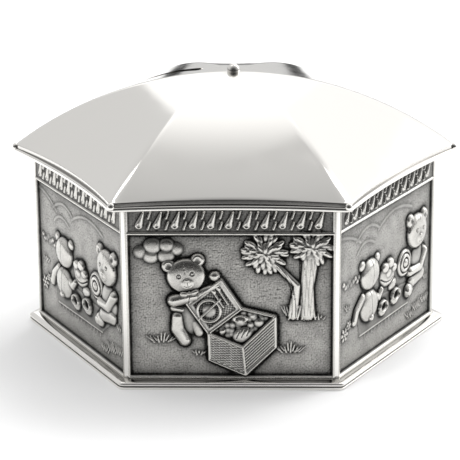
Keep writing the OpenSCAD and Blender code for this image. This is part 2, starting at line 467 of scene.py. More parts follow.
def blur(h, cells):
    """A Gaussian blur over this many cells, repeated at the edges."""
    reach = max(1, int(3 * cells))
    weights = np.exp(-0.5 * (np.arange(-reach, reach + 1) / cells) ** 2)
    weights /= weights.sum()
    padded = np.pad(h, reach, mode="edge")
    padded = sum(w * padded[i : i + h.shape[0]] for i, w in enumerate(weights))
    return sum(w * padded[:, i : i + h.shape[1]] for i, w in enumerate(weights))


def leafy_crown(r, u, v, ru, rv, rings=5):
    """Short leaves that overlap outwards from a crown's middle."""
    r.add(r.dome(u, v, 0.8 * ru, 0.8 * rv, power=3), 0.3)
    for k in range(rings, 0, -1):
        share = k / rings
        count = round(4 + 13 * share)
        for i in range(count):
            turn = 360 * (i + 0.5 * (k % 2)) / count + 9 * math.sin(5 * i + 2 * k)
            c, s = math.cos(math.radians(turn)), math.sin(math.radians(turn))
            along = 0.86 * share + 0.05 * math.sin(7 * i + k)
            leaf = r.dome(u + ru * along * c, v + rv * along * s, 1.4, 0.66, turn + 12 * math.sin(3 * i))
            r.add(leaf, 0.5, base=0.15 + 0.5 * (1 - share) + 0.12 * (i % 2))


def grass(r, u, v, spread, tall, blades):
    """A tuft of grass blades that lean outwards."""
    for i in range(blades):
        t = i / (blades - 1) * 2 - 1
        up = tall * (1 - 0.45 * abs(t)) * (0.8 + 0.2 * math.cos(5 * i))
        root = (u + spread * t * 0.7, v + 0.3 * math.cos(3 * i))
        r.add(r.limb([root, (root[0] + spread * t * 0.45, v + up)], [0.28, 0.12]), 0.4)


def bear_face(r, u, v, size, tilt, base):
    """A plain toy bear's head: round, with two ears, a muzzle, button eyes and a stitched seam."""
    c, s = math.cos(math.radians(tilt)), math.sin(math.radians(tilt))

    def on(x, y):
        return u + size * (x * c - y * s), v + size * (x * s + y * c)

    for side in (-1, 1):
        ear = on(side * 0.78, 0.72)
        r.add(r.dome(*ear, 0.36 * size), 0.75, base=base - 0.5)
        r.cut(r.dome(*ear, 0.2 * size) ** 2, 0.35)
    r.add(r.dome(u, v, size, 0.94 * size, tilt, power=2.4), 1.15, base=base - 0.35)
    r.add(r.dome(*on(0, -0.34), 0.42 * size, 0.33 * size, tilt), 0.5, base=base + 0.45)
    r.add(r.dome(*on(0, -0.2), 0.14 * size, 0.1 * size, tilt), 0.3, base=base + 0.85)
    for side in (-1, 1):
        eye = on(side * 0.36, 0.12)
        r.cut(r.dome(*eye, 0.12 * size), 0.3)
        r.add(r.dome(*eye, 0.075 * size), 0.2, base=base + 0.72)
    r.cut(r.limb([on(0, -0.3), on(0, -0.5)], [0.09, 0.09]), 0.22)
    r.cut(r.curve(on(-0.2, -0.48), on(0, -0.66), on(0.2, -0.48), 0.09), 0.2)
    r.cut(r.limb([on(0, 0.92), on(0, 0.15)], [0.07, 0.07]), 0.12)


def cloud(r, u, v):
    """Puffs that overlap, each with a crease round it."""
    puffs = (
        (-4.4, -0.6, 2.0), (4.4, 0.2, 2.0), (-1.9, -1.7, 2.2),
        (1.9, -1.5, 2.4), (-1.4, 1.0, 2.5), (2.1, 1.2, 2.1),
    )
    for i, (du, dv, size) in enumerate(puffs):
        r.cut(r.dome(u + du, v + dv, 1.06 * size, size), 0.07)
        r.add(r.dome(u + du, v + dv, size, 0.92 * size, power=2.5), 0.5 + 0.04 * i)


def tree(r, root_u, root_v):
    """A trunk with flared roots and a stem that leans away from its foot, under two leafy crowns."""
    r.add(r.limb([(root_u, root_v + 1), (root_u - 0.1, root_v + 8), (root_u + 0.9, root_v + 17)],
                 [2.1, 1.75, 2.2]), 0.85)
    r.add(r.limb([(root_u - 3.7, root_v + 0.5), (root_u - 2.6, root_v + 8.5), (root_u - 8.4, root_v + 14.5)],
                 [1.45, 0.95, 0.8]), 0.75)
    for k in range(-3, 4):
        toe = [(root_u + 0.7 * k - 1, root_v + 3), (root_u + 1.15 * k - 1.4, root_v - 0.7)]
        r.add(r.limb(toe, [0.55, 0.25]), 0.6)
    for k in range(-3, 4):
        x = root_u + 0.5 * k
        knots = [(x + 0.25 * math.sin(2.1 * k + 0.9 * j) + 0.02 * k * j, root_v + 0.5 + 2.2 * j)
                 for j in range(8)]
        r.cut(r.limb(knots, [0.11 + 0.05 * math.sin(k + j) ** 2 for j in range(8)]), 0.08)
    for k in (-1, 1):
        r.cut(r.curve((root_u - 3.6 + 0.5 * k, root_v), (root_u - 2.6 + 0.3 * k, root_v + 9),
                      (root_u - 7.5 + 0.4 * k, root_v + 13.8), 0.12), 0.2)
    leafy_crown(r, root_u - 10.9, root_v + 17.2, 5.8, 4.9)
    leafy_crown(r, root_u + 1.2, root_v + 18.8, 5.5, 4.1)


def hamper(r):
    """An open wicker hamper seen from a corner, with a strapped lid, a loaf, a jar and fruit."""
    left, front, right, back = (-5.8, 14.8), (3.0, 11.0), (11.4, 19.4), (2.7, 21.6)
    left_foot, front_foot, right_foot = (-5.6, 7.6), (3.7, 3.4), (11.5, 11.2)
    lid_far, lid_near = (-2.4, 29.4), (-11.2, 22.8)
    # The lid, with a woven ground, a border, and two spoons and a plate under a strap
    r.add(r.plate([left, back, lid_far, lid_near], 0.25), 1.0)
    along = (r.u - left[0]) * 0.8 + (r.v - left[1]) * 0.6
    across = (r.v - left[1]) * 0.8 - (r.u - left[0]) * 0.6
    inner = r.plate([(-5.6, 16.2), (1.4, 21.6), (-2.9, 28.2), (-9.8, 22.7)], 0.2)
    r.cut(inner * (0.5 + 0.5 * np.sin(along * 7) * np.sin(across * 7)), 0.16)
    r.cut(inner, 0.12)
    r.add(r.torus(-5.6, 21.0, 2.9, 3.0, 0.35, 35), 0.35, base=0.85)
    r.add(r.dome(-5.6, 21.0, 1.7, 1.8, 35), 0.3, base=0.8)
    for shift in (0.0, 1.7):
        r.add(r.limb([(-1.9 + shift * 0.7, 22.0 + shift * 0.5), (-4.3 + shift * 0.7, 26.0 + shift * 0.5)],
                     [0.25, 0.3]), 0.35, base=0.85)
        r.add(r.dome(-4.4 + shift * 0.7, 26.3 + shift * 0.5, 0.8, 0.55, 120), 0.35, base=0.85)
    r.add(r.limb([(-8.4, 18.6), (-2.7, 24.2)], [0.3, 0.3]), 0.45, base=0.9)
    # The hollow
    hollow = r.plate([left, front, right, back], 0.5)
    bundles = noise_cells(r.u + 0.4, r.v, 1.5, 3)
    r.h = np.where(hollow > 0, 0.1 + hollow * 0.5 * bundles, r.h)
    r.add(r.dome(3.0, 14.2, 3.0, 2.3, 25), 0.95, base=0.1)
    for k in range(3):
        r.cut(r.limb([(1.4 + 1.3 * k, 13.4 + 0.4 * k), (2.2 + 1.3 * k, 15.4 + 0.4 * k)], [0.16, 0.16]), 0.2)
    r.add(r.dome(2.4, 18.0, 1.7, 1.5), 0.8, base=0.1)
    r.add(r.torus(2.4, 18.7, 1.6, 0.8, 0.25), 0.35, base=0.55)
    r.add(r.dome(7.3, 17.6, 1.5), 0.75, base=0.1)
    r.add(r.dome(-2.2, 15.2, 1.2, 0.9, 50), 0.7, base=0.1)
    r.add(r.dome(5.6, 19.4, 1.1), 0.6, base=0.1)
    # The two woven walls
    r.add(r.plate([left_foot, front_foot, front, left], 0.2), 1.3)
    r.add(r.plate([front_foot, right_foot, right, front], 0.2), 1.3)
    down_left = (r.v - left[1]) + (r.u - left[0]) * 0.43
    down_right = (r.v - front[1]) - (r.u - front[0]) * 1.0
    left_wall = r.plate([left_foot, front_foot, front, left], 0.15)
    right_wall = r.plate([front_foot, right_foot, right, front], 0.15)
    r.cut(left_wall * (0.5 + 0.5 * np.sin(down_left * 9.5 + np.sign(np.sin(r.u * 4.2)) * 1.5)), 0.2)
    r.cut(right_wall * (0.5 + 0.5 * np.sin(down_right * 7.5)) ** 2, 0.3)
    for a, b in ((left, front), (front, right), (front, front_foot), (right, right_foot), (left, left_foot),
                 (left_foot, front_foot), (front_foot, right_foot)):
        r.add(r.limb([a, b], [0.3, 0.3]), 0.35, base=1.1)
    for a, b in ((left, back), (back, right), (back, lid_far), (lid_far, lid_near), (lid_near, left)):
        r.add(r.limb([a, b], [0.36, 0.36]), 0.45, base=0.75)


def picture_hamper(r):
    """A toy bear lifts the lid of a picnic hamper beside a tree."""
    cloud(r, -18.4, 37.4)
    tree(r, 19.6, 19.2)
    # The bear behind the hamper: trunk, legs, then the arm that reaches down
    r.add(r.dome(-10.8, 19.5, 4.2, 5.4, -8), 0.7)
    r.add(r.limb([(-9.3, 17.5), (-8.2, 14.8)], [1.5, 1.2]), 0.7)
    r.add(r.limb([(-13.7, 19.2), (-13.6, 15.8), (-11.9, 12.6)], [1.5, 1.9, 1.55]), 1.2)
    r.add(r.limb([(-14.6, 21.6), (-12.6, 21.2)], [1.0, 0.9]), 0.9)
    hamper(r)
    r.add(r.limb([(-14.6, 23.6), (-11.5, 24.4), (-9.4, 24.9)], [1.75, 1.75, 1.5]), 1.5)
    r.add(r.limb([(-9.0, 25.2), (-3.4, 27.9)], [1.35, 0.9]), 1.15)
    r.cut(r.limb([(-10.9, 22.9), (-10.3, 26.0)], [0.12, 0.12]), 0.25)
    bear_face(r, -11.4, 30.4, 4.9, 12, base=0.75)
    r.add(r.dome(-4.1, 30.3, 1.55, 1.45), 1.2)
    for k in (-1, 0, 1):
        r.cut(r.limb([(-3.3 + 0.2 * k, 30.3 + 0.55 * k), (-2.6, 30.3 + 0.7 * k)], [0.12, 0.12]), 0.2)
    # A neck bow
    for side in (-1, 1):
        r.add(r.dome(-10.6 + 1.3 * side, 25.9 + 0.25 * side, 1.15, 0.65, 12 + 14 * side), 0.4, base=1.15)
    r.add(r.dome(-10.6, 25.9, 0.5), 0.45, base=1.25)
    for u, v, spread, tall, blades in (
        (-18.0, 12.4, 3.4, 2.8, 9), (15.0, 9.6, 3.6, 3.0, 10), (-8.3, 8.9, 1.6, 1.6, 5),
        (15.3, 20.0, 2.2, 4.0, 8), (19.3, 18.6, 1.6, 2.4, 5), (22.8, 18.8, 1.3, 1.8, 4),
    ):
        grass(r, u, v, spread, tall, blades)


def flower(r, u, v, size):
    for i in range(6):
        turn = 60 * i
        c, s = math.cos(math.radians(turn)), math.sin(math.radians(turn))
        r.add(r.dome(u + size * 0.6 * c, v + size * 0.6 * s, 0.45 * size, 0.3 * size, turn), 0.45)
    r.add(r.dome(u, v, 0.32 * size), 0.55)


def cup(r, u, v, size):
    """A cup on a saucer, seen from above the rim."""
    r.add(r.dome(u, v - 0.55 * size, 1.25 * size, 0.55 * size), 0.5)
    r.add(r.dome(u, v - 0.1 * size, size, 0.95 * size, power=4), 1.05)
    r.cut(r.dome(u, v + 0.22 * size, 0.72 * size, 0.5 * size, power=3), 0.75)
    r.add(r.torus(u, v + 0.22 * size, 0.85 * size, 0.62 * size, 0.2), 0.3, base=0.95)


def picture_picnic(r):
    """Two toy bears sit at a picnic, one with its back turned, with hills behind."""
    for a, b, c in (
        ((-27, 39.6), (-20, 39.4), (-14.5, 35.6)), ((-16.5, 36.2), (-10, 41), (-4.2, 36.6)),
        ((-4.6, 36.0), (4, 41.5), (14.5, 37.0)), ((-16.0, 32.6), (-12, 36.6), (-6.5, 33.2)),
    ):
        r.add(r.curve(a, b, c, 0.42), 0.22)
    for i in range(9):
        r.add(r.dome(-23.5 + 1.05 * i, 25.9 + 0.6 * math.cos(2.2 * i), 0.85, 0.75), 0.35 + 0.1 * math.cos(i))
    # Rug, with a turned edge
    r.add(r.plate([(-14.5, 9.4), (12.8, 9.8), (20.5, 15.5), (-17.0, 18.5)], 0.3), 0.22)
    r.add(r.limb([(-14.5, 9.5), (12.8, 9.9)], [0.35, 0.35]), 0.35)
    for i in range(14):
        r.add(r.limb([(-13.6 + 1.95 * i, 9.3), (-13.8 + 1.95 * i, 8.4)], [0.2, 0.14]), 0.3)
    # A bag of buns between the bears
    r.add(r.dome(0.6, 22.3, 4.4, 3.7, power=3), 0.95)
    for du, dv, size in ((-1.8, 2.1, 1.6), (1.0, 2.7, 1.7), (2.9, 0.9, 1.4), (-0.4, 0.2, 1.5)):
        r.add(r.dome(0.6 + du, 22.3 + dv, size, 0.8 * size), 0.45, base=0.8)
    r.cut(r.curve((-3.3, 21.6), (0.6, 18.6), (4.5, 21.4), 0.22), 0.3)
    r.add(r.dome(3.6, 18.2, 2.4, 1.6, 15), 0.75)
    # The bear with its back turned
    r.add(r.limb([(-13.4, 19.6), (-16.6, 17.2), (-17.8, 14.6)], [1.5, 1.4, 1.3]), 0.9)
    r.add(r.limb([(-6.8, 18.0), (-4.6, 17.2), (-3.0, 18.8)], [1.4, 1.2, 0.9]), 1.0)
    r.add(r.dome(-9.9, 16.6, 4.9, 4.4, power=2.6), 1.5)
    r.cut(r.limb([(-9.9, 20.6), (-9.9, 12.6)], [0.1, 0.1]), 0.16)
    r.add(r.dome(-9.9, 13.4, 1.0, 0.85), 0.35, base=1.35)
    for side in (-1, 1):
        r.add(r.dome(-9.5 + 4.1 * side, 28.6, 1.7, 1.5), 0.8)
    r.add(r.dome(-9.5, 25.3, 5.0, 4.3, power=2.4), 1.7)
    r.cut(r.limb([(-9.5, 29.2), (-9.5, 21.4)], [0.1, 0.1]), 0.16)
    # The bear that faces out, with a plate of rolled cake
    r.add(r.dome(17.9, 20.2, 4.7, 5.0), 1.1)
    r.add(r.limb([(14.5, 15.6), (19.6, 16.6)], [2.1, 2.3]), 1.25)
    r.add(r.dome(12.6, 13.6, 2.2, 2.1, power=3), 1.35)
    r.add(r.dome(12.0, 13.4, 1.1, 1.1), 0.25, base=1.3)
    bear_face(r, 17.2, 29.4, 5.1, -2, base=0.95)
    r.add(r.dome(10.4, 22.2, 4.1, 3.9, power=3.5), 0.95)
    r.cut(r.torus(10.4, 22.2, 2.9, 2.75, 0.3), 0.4)
    r.cut(r.torus(10.4, 22.2, 1.5, 1.4, 0.28), 0.35)
    r.add(r.dome(10.4, 22.2, 0.8), 0.3, base=0.9)
    r.add(r.limb([(21.2, 22.6), (18.4, 18.9), (13.2, 18.8)], [1.6, 1.9, 1.5]), 1.6)
    cup(r, -2.3, 13.5, 2.3)
    cup(r, 4.8, 14.6, 2.4)
    flower(r, -23.0, 12.6, 2.0)
    flower(r, -20.6, 14.6, 1.3)
    for u, v, spread, tall, blades in (
        (14.5, 5.4, 2.4, 2.4, 6), (18.5, 6.6, 2.6, 3.2, 8), (22.8, 7.4, 2.0, 3.0, 6),
        (-21.5, 19.3, 1.3, 2.0, 4), (23.0, 14.0, 1.0, 2.2, 4),
    ):
        grass(r, u, v, spread, tall, blades)


def rain_band(r, middle, height):
    """Slanting rain: a row of drops, with short dashes staggered between them."""
    count, pitch, slant = 11, 4.55, 0.34
    for i in range(count):
        u = (i - (count - 1) / 2) * pitch
        for du, top, foot, thin, fat in ((0, 0.33, -0.2, 0.3, 1.0), (1.75, 0.36, 0.1, 0.3, 0.34),
                                         (2.6, -0.06, -0.34, 0.3, 0.34)):
            if u + du > pitch * count / 2 - 1:
                continue
            start = (u + du + slant * top * height, middle + top * height)
            end = (u + du + slant * foot * height, middle + foot * height)
            r.add(r.limb([start, end], [thin, fat]), 0.62)
        r.cut(r.dome(u - 0.2 * slant * height, middle - 0.2 * height, 0.5, 0.55), 0.3)


def panel_heights(settings, u, v, foot, top, half, picture, seed):
    """Heights from the frame's face over the panel's grid, its two sunk areas, and the height of the art."""
    window_depth, band_depth = settings.window_depth / MM, settings.band_depth / MM
    band, side = settings.band_height / MM, settings.frame_width / MM
    line = 0.45
    band_foot = top - band - line
    opening = half - side

    def sunk(low_v, high_v):
        inside = np.minimum(opening - np.abs(u), np.minimum(v - low_v, high_v - v))
        return np.clip(inside / 0.3, 0, 1)

    window = sunk(foot + line, band_foot - line)
    band_area = sunk(band_foot, top - line)
    art = Relief(u, v)
    picture(art)
    letters = Relief(u, v)
    rain_band(letters, band_foot + band / 2, band)
    pebbles = noise_cells(u, v, settings.grain / MM, seed)
    picture_h = art.h + 0.15 * pebbles * np.clip(1 - art.h / 0.25, 0.12, 1)
    band_h = letters.h + 0.14 * pebbles * np.clip(1 - letters.h / 0.2, 0.1, 1)
    h = -window * window_depth + window * picture_h - band_area * band_depth + band_area * band_h
    return h, window, band_area, art.h, letters.h


# ---------------------------------------------------------------- pieces


class MONEYBOX_OT_base(bpy.types.Operator):
    """Moulded hexagonal base plate with the coin outlet in its underside"""

    bl_idname = "moneybox.base"
    bl_label = "Base plate"

    def execute(self, context):
        top, radius = high("base_plate").z, high("base_plate").x
        wall = high("strip_right").x
        outlet, recess = 17 * MM, 1.1 * MM
        foot = radius - 4.7 * MM
        bead, groove, corner = 0.2 * MM, 0.35 * MM, 0.9 * MM
        nose_low, nose_in = 1.4 * MM, radius - wall - 0.3 * MM
        groove_low, groove_high = 0.68 * MM, 1.08 * MM

        def hexes(r):
            return hexagon(r, corner)

        sections = [at(ring(outlet), top)]
        nose_steps = 8
        for i in range(nose_steps + 1):
            turn = math.radians(90 - 90 * i / nose_steps)
            r = radius - nose_in * (1 - math.cos(turn))
            z = nose_low + (top - nose_low) * math.sin(turn)
            sections.append(at(hexes(r), z))
        lip, floor = 0.07 * MM, radius - groove
        sections += [at(hexes(radius), groove_high + lip), at(hexes(radius - lip), groove_high)]
        sections += [at(hexes(floor), groove_high - lip), at(hexes(floor), groove_low + lip)]
        sections += [at(hexes(radius - lip), groove_low), at(hexes(radius), groove_low - lip)]
        sections += rounded(radius - bead, bead, bead, 0, math.radians(-90), 4, hexes)
        sections += [at(hexes(foot + 0.1 * MM), 0), at(hexes(foot), 0.1 * MM), at(hexes(foot), recess)]
        sections += [at(ring(outlet + 0.1 * MM), recess), at(ring(outlet), recess + 0.1 * MM)]
        bm = loft(sections, column_angles(24, 1.9), closed=True)
        shade(bm)
        mesh = new_mesh("base_plate_cast", bm)
        seam = 0.01 * MM
        # Painted shade: the top face under and just outside the foot of the walls, and the groove, are
        # darkened where shade falls
        ledge_painted_shade, groove_painted_shade = 0.6, 0.85
        painted_shade(mesh, lambda co: ledge_painted_shade * (co.z > top - seam)
                + groove_painted_shade * (groove_low + seam < co.z < groove_high - seam))
        settle(mesh, "base_plate_cast", "base_plate", finish_material(buffed_pewter))
        return {"FINISHED"}


class MONEYBOX_OT_strips(bpy.types.Operator):
    """Polished bars at the six corners of the walls"""

    bl_idname = "moneybox.strips"
    bl_label = "Corner strips"

    def execute(self, context):
        inner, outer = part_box("strip_right")
        for name, angle in zip(CORNER_NAMES, CORNER_ANGLES):
            bm = bmesh.new()
            bmesh.ops.create_cube(bm, size=1)
            size, centre = outer - inner, (outer + inner) / 2
            bmesh.ops.scale(bm, vec=size, verts=bm.verts)
            bmesh.ops.translate(bm, vec=centre, verts=bm.verts)
            edges = [e for e in bm.edges if abs((e.verts[0].co - e.verts[1].co).z) > size.z / 2
                     and e.verts[0].co.x > centre.x]
            bmesh.ops.bevel(bm, geom=edges, offset=0.22 * MM, segments=4, profile=0.5, affect="EDGES",
                            material=-1)
            bmesh.ops.rotate(bm, cent=(0, 0, 0), matrix=Matrix.Rotation(angle, 3, "Z"), verts=bm.verts)
            shade(bm, math.radians(40))
            mesh = new_mesh(f"strip_{name}_bar", bm)
            settle(mesh, mesh.name, f"strip_{name}", finish_material(buffed_pewter))
        return {"FINISHED"}


class MONEYBOX_OT_panels(bpy.types.Operator):
    """Six cast relief panels, with two pictures that take turns"""

    bl_idname = "moneybox.panels"
    bl_label = "Relief panels"

    def execute(self, context):
        settings = context.scene.money_box_relief
        pictures = [picture_hamper, picture_picnic]
        cast = [self.cast(settings, picture, i) for i, picture in enumerate(pictures)]
        for i, (name, angle) in enumerate(zip(SIDE_NAMES, PANEL_ANGLES)):
            mesh = cast[i % 2].copy()
            mesh.name = f"panel_{name}_relief"
            mesh.transform(Matrix.Rotation(angle - PANEL_ANGLES[0], 4, "Z"))
            settle(mesh, mesh.name, f"panel_{name}", finish_material(blackened_pewter))
        for mesh in cast:
            bpy.data.meshes.remove(mesh)
        return {"FINISHED"}

    def cast(self, settings, picture, seed):
        """A panel's mesh where the front panel stands."""
        inner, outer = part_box("panel_front")
        half, wall = outer.x, outer.y - inner.y
        tall, face = outer.z - inner.z, inner.y
        back_share = (half - wall * math.tan(STEP / 2)) / half
        bm = bmesh.new()
        bmesh.ops.create_grid(bm, x_segments=settings.columns, y_segments=settings.rows, size=0.5)
        front = len(bm.verts)
        for one in bm.faces:
            one.smooth = True
        rim = [e for e in bm.edges if e.is_boundary]
        made = bmesh.ops.extrude_edge_only(bm, edges=rim)["geom"]
        back = [g for g in made if isinstance(g, bmesh.types.BMVert)]
        for edge in rim:
            edge.smooth = False
        bmesh.ops.scale(bm, vec=(back_share, 1, 1), verts=back)
        bmesh.ops.translate(bm, vec=(0, 0, -1), verts=back)
        bmesh.ops.contextual_create(bm, geom=[e for e in bm.edges if e.is_boundary])
        bmesh.ops.recalc_face_normals(bm, faces=bm.faces)
        mesh = new_mesh("panel", bm)
        co = np.empty(len(mesh.vertices) * 3)
        mesh.vertices.foreach_get("co", co)
        co = co.reshape(-1, 3)
        grid = np.lexsort((co[:front, 0], co[:front, 1])).reshape(settings.rows + 1, -1)
        u = co[grid, 0] * 2 * half / MM
        v = (inner.z + (co[grid, 1] + 0.5) * tall) / MM
        h, wear = self.surface(settings, u, v, inner.z / MM, outer.z / MM, half / MM, picture, seed)
        placed = np.empty_like(co)
        placed[:, 0] = co[:, 0] * 2 * half
        placed[:, 1] = face + wall * -co[:, 2]
        placed[:, 2] = inner.z + (co[:, 1] + 0.5) * tall
        placed[grid, 1] = face - h * MM
        mesh.vertices.foreach_set("co", placed.ravel())
        shown = np.full(len(co), 0.6, np.float32)
        shown[grid] = wear
        mesh.attributes.new("wear", "FLOAT", "POINT").data.foreach_set("value", shown)
        mesh.update()
        return mesh

    def surface(self, settings, u, v, foot, top, half, picture, seed):
        """Heights over the grid, and how far the blackening is rubbed off, from 0 to 1."""
        h, window, band, art, letters = panel_heights(settings, u, v, foot, top, half, picture, seed)
        cell = 2 * half / settings.columns
        fine, middle, broad = (h - blur(h, size / cell) for size in (0.4, 1.3, 4.0))
        beside = art - blur(art, 0.8 / cell)
        ground = window * np.clip(1 - art / 0.3, 0, 1)
        raised = window * np.clip(art / 0.5, 0, 1)
        wear = 0.62 * ground + 0.66 * raised + 0.95 * (1 - np.maximum(window, band))
        # Blackening stays along the edges of the window, in hollows and beside the raised shapes
        wear -= 0.25 * window * (1 - blur(window, 2.0 / cell))
        wear += band * (0.45 + 0.5 * np.clip(letters / 0.3, 0, 1))
        wear += 3.0 * np.clip(fine, -0.12, 0.12) + 0.4 * np.clip(middle, -0.5, 0.4)
        wear += 0.1 * np.clip(broad, -0.9, 0.9) + 1.4 * np.clip(beside, -0.4, 0)
        return h, np.clip(wear, 0, 1)


class MONEYBOX_OT_rim(bpy.types.Operator):
    """Flat rim under the canopy, with rounded edges and sides that bow in"""

    bl_idname = "moneybox.rim"
    bl_label = "Roof rim"

    def execute(self, context):
        roof = context.scene.money_box_roof
        bottom, top = low("roof_rim").z, high("roof_rim").z
        edge = 0.42 * MM
        dish = roof.rim_bow / roof.rim_radius

        def bowed(r):
            share = r / roof.rim_radius
            return hexagon(r, 2.2 * MM, lambda a: dished(a, dish) if share > 0.9 else straight(a))

        hole = hexagon(52.4 * MM, 0.5 * MM)
        reach = roof.rim_radius
        sections = [at(hole, top)]
        sections += rounded(reach - edge, top - edge, edge, math.radians(90), 0, 6, bowed)
        sections += rounded(reach - edge, bottom + edge, edge, 0, math.radians(-90), 6, bowed)
        sections += [at(hole, bottom)]
        bm = loft(sections, column_angles(40, 1.9), closed=True)
        shade(bm, math.radians(50))
        mesh = new_mesh("roof_rim_cast", bm)
        seam = 0.01 * MM
        # Painted shadow: the top face, under the canopy's edge, is darkened
        painted_shade(mesh, lambda co: 0.5 * (co.z > top - seam))
        settle(mesh, "roof_rim_cast", "roof_rim", finish_material(buffed_pewter))
        return {"FINISHED"}


class MONEYBOX_OT_canopy(bpy.types.Operator):
    """Domed roof shell of six dished gores, with the coin slot cut in one"""

    bl_idname = "moneybox.canopy"
    bl_label = "Canopy"

    def execute(self, context):
        roof = context.scene.money_box_roof
        seat = low("canopy").z
        apex = high("canopy").z
        radius, roll, roll_start = roof.canopy_radius, roof.eave_roll, math.radians(50)

        def shell(r, drop):
            dish = roof.apex_dish + (roof.eave_dish - roof.apex_dish) * r / radius
            soft = roof.apex_round + (roof.eave_round - roof.apex_round) * r / radius
            soft *= min(1, r / (2 * roof.apex_round))
            plan = hexagon(max(r, 1e-6), max(soft, 1e-9), lambda a: dished(a, dish))
            height = apex - (roof.ridge_arc - math.sqrt(roof.ridge_arc**2 - r**2)) - drop

            def section(angle):
                lift = roof.eave_lift * (r / radius) ** 4 * (1 - (2 * from_mid(angle) / STEP) ** 2)
                return plan(angle), height + lift

            return section

        eave = shell(radius, 0)
        roll_drop = math.sin(roll_start) - (1 - math.cos(roll_start)) / math.tan(roll_start)

        def rolled(turn):
            """The rolled lower edge, where its face leans back by this turn."""

            def section(angle):
                r, z = eave(angle)
                return r - roll * (1 - math.cos(turn)), z - roll * (roll_drop - math.sin(turn))

            return section

        def under(inset, z):
            return lambda angle: (eave(angle)[0] - inset, z)

        hole = 0.8 * MM
        out_steps, in_steps, seat_width = 90, 24, 2.5 * MM
        outer, inner = radius - roll * (1 - math.cos(roll_start)), radius - seat_width
        sections = [shell(hole + (outer - hole) * i / out_steps, 0) for i in range(out_steps + 1)]
        sections += [rolled(roll_start * (1 - i / 8)) for i in range(1, 9)]
        sections += [under(0, seat + 0.06 * MM), under(0.06 * MM, seat), under(seat_width, seat)]
        sections += [shell(hole + (inner - hole) * i / in_steps, roof.canopy_wall)
                     for i in range(in_steps, -1, -1)]
        bm = loft(sections, column_angles(40, 1.9), closed=True)
        mesh = new_mesh("canopy_cast", bm)
        piece = settle(mesh, "canopy_cast", "canopy", finish_material(buffed_pewter))
        self.cut_slot(context, piece, roof, apex)
        return {"FINISHED"}

    def cut_slot(self, context, piece, roof, apex):
        """Cuts a slot with round ends through the back left gore."""
        bm = bmesh.new()
        end, near, far = roof.slot_width / 2, roof.slot_start, roof.slot_end
        bmesh.ops.create_circle(bm, cap_ends=True, segments=32, radius=end)
        for vert in bm.verts:
            vert.co.x += far - end if vert.co.x > 1e-6 else near + end
        made = bmesh.ops.extrude_face_region(bm, geom=list(bm.faces))["geom"]
        raised = [g for g in made if isinstance(g, bmesh.types.BMVert)]
        bmesh.ops.translate(bm, vec=(0, 0, apex + 5 * MM), verts=raised)
        back_left = Matrix.Rotation(math.radians(150), 3, "Z")
        bmesh.ops.rotate(bm, cent=(0, 0, 0), matrix=back_left, verts=bm.verts)
        bmesh.ops.recalc_face_normals(bm, faces=bm.faces)
        cutter = bpy.data.objects.new("slot_cutter", new_mesh("slot_cutter", bm))
        context.scene.collection.objects.link(cutter)
        cut = piece.modifiers.new("slot", "BOOLEAN")
        cut.operation, cut.object, cut.solver = "DIFFERENCE", cutter, "EXACT"
        context.view_layer.update()
        done = bpy.data.meshes.new_from_object(piece.evaluated_get(context.evaluated_depsgraph_get()))
        piece.modifiers.clear()
        old = piece.data
        piece.data = done
        done.name = piece.name
        bpy.data.meshes.remove(old)
        bpy.data.objects.remove(cutter)
        bm = bmesh.new()
        bm.from_mesh(done)
        shade(bm, math.radians(36))
        bm.to_mesh(done)
        bm.free()
        seam = low("canopy").z + 0.1 * MM
        # Painted shade: the underside, where the canopy sits on the rim, is darkened
        painted_shade(done, lambda co: 0.4 * (co.z < seam))


class MONEYBOX_OT_tips(bpy.types.Operator):
    """Round-ended pegs that tie the canopy's corners to the rim"""

    bl_idname = "moneybox.tips"
    bl_label = "Rib tips"

    def execute(self, context):
        for name, angle in zip(CORNER_NAMES, CORNER_ANGLES):
            lowest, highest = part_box(f"tip_{name}")
            size, centre = highest - lowest, (highest + lowest) / 2
            radius = size.x / 2
            bm = bmesh.new()
            bmesh.ops.create_uvsphere(bm, u_segments=24, v_segments=16, radius=radius)
            stretch = size.z / 2 - radius
            for vert in bm.verts:
                vert.co.z += math.copysign(stretch, vert.co.z) if abs(vert.co.z) > 1e-7 else 0
            bmesh.ops.translate(bm, vec=centre, verts=bm.verts)
            shade(bm, math.radians(60))
            mesh = new_mesh(f"tip_{name}_peg", bm)
            settle(mesh, mesh.name, f"tip_{name}", finish_material(buffed_pewter))
        return {"FINISHED"}


class MONEYBOX_OT_finial(bpy.types.Operator):
    """Small ball at the apex, with its rivet under the canopy"""

    bl_idname = "moneybox.finial"
    bl_label = "Finial"

    def execute(self, context):
        lowest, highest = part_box("finial")
        radius = highest.x
        centre = highest.z - radius
        seat = high("canopy").z
        start = math.asin((seat - centre) / radius)
        steps = 20
        turns = [math.radians(89) + (start - math.radians(89)) * i / steps for i in range(steps + 1)]
        sections = [at(ring(radius * math.cos(t)), centre + radius * math.sin(t)) for t in turns]
        stem, head, head_top = 0.8 * MM, 1.6 * MM, lowest.z + 0.7 * MM
        sections += [at(ring(stem), seat), at(ring(stem), head_top), at(ring(head - 0.1 * MM), head_top)]
        sections += [at(ring(head), head_top - 0.1 * MM), at(ring(head), lowest.z + 0.3 * MM)]
        sections += [at(ring(head * 0.75), lowest.z + 0.08 * MM), at(ring(head * 0.4), lowest.z)]
        bm = loft(sections, [math.tau * i / 48 for i in range(48)])
        shade(bm, math.radians(50))
        mesh = new_mesh("finial_ball", bm)
        settle(mesh, "finial_ball", "finial", finish_material(buffed_pewter))
        return {"FINISHED"}


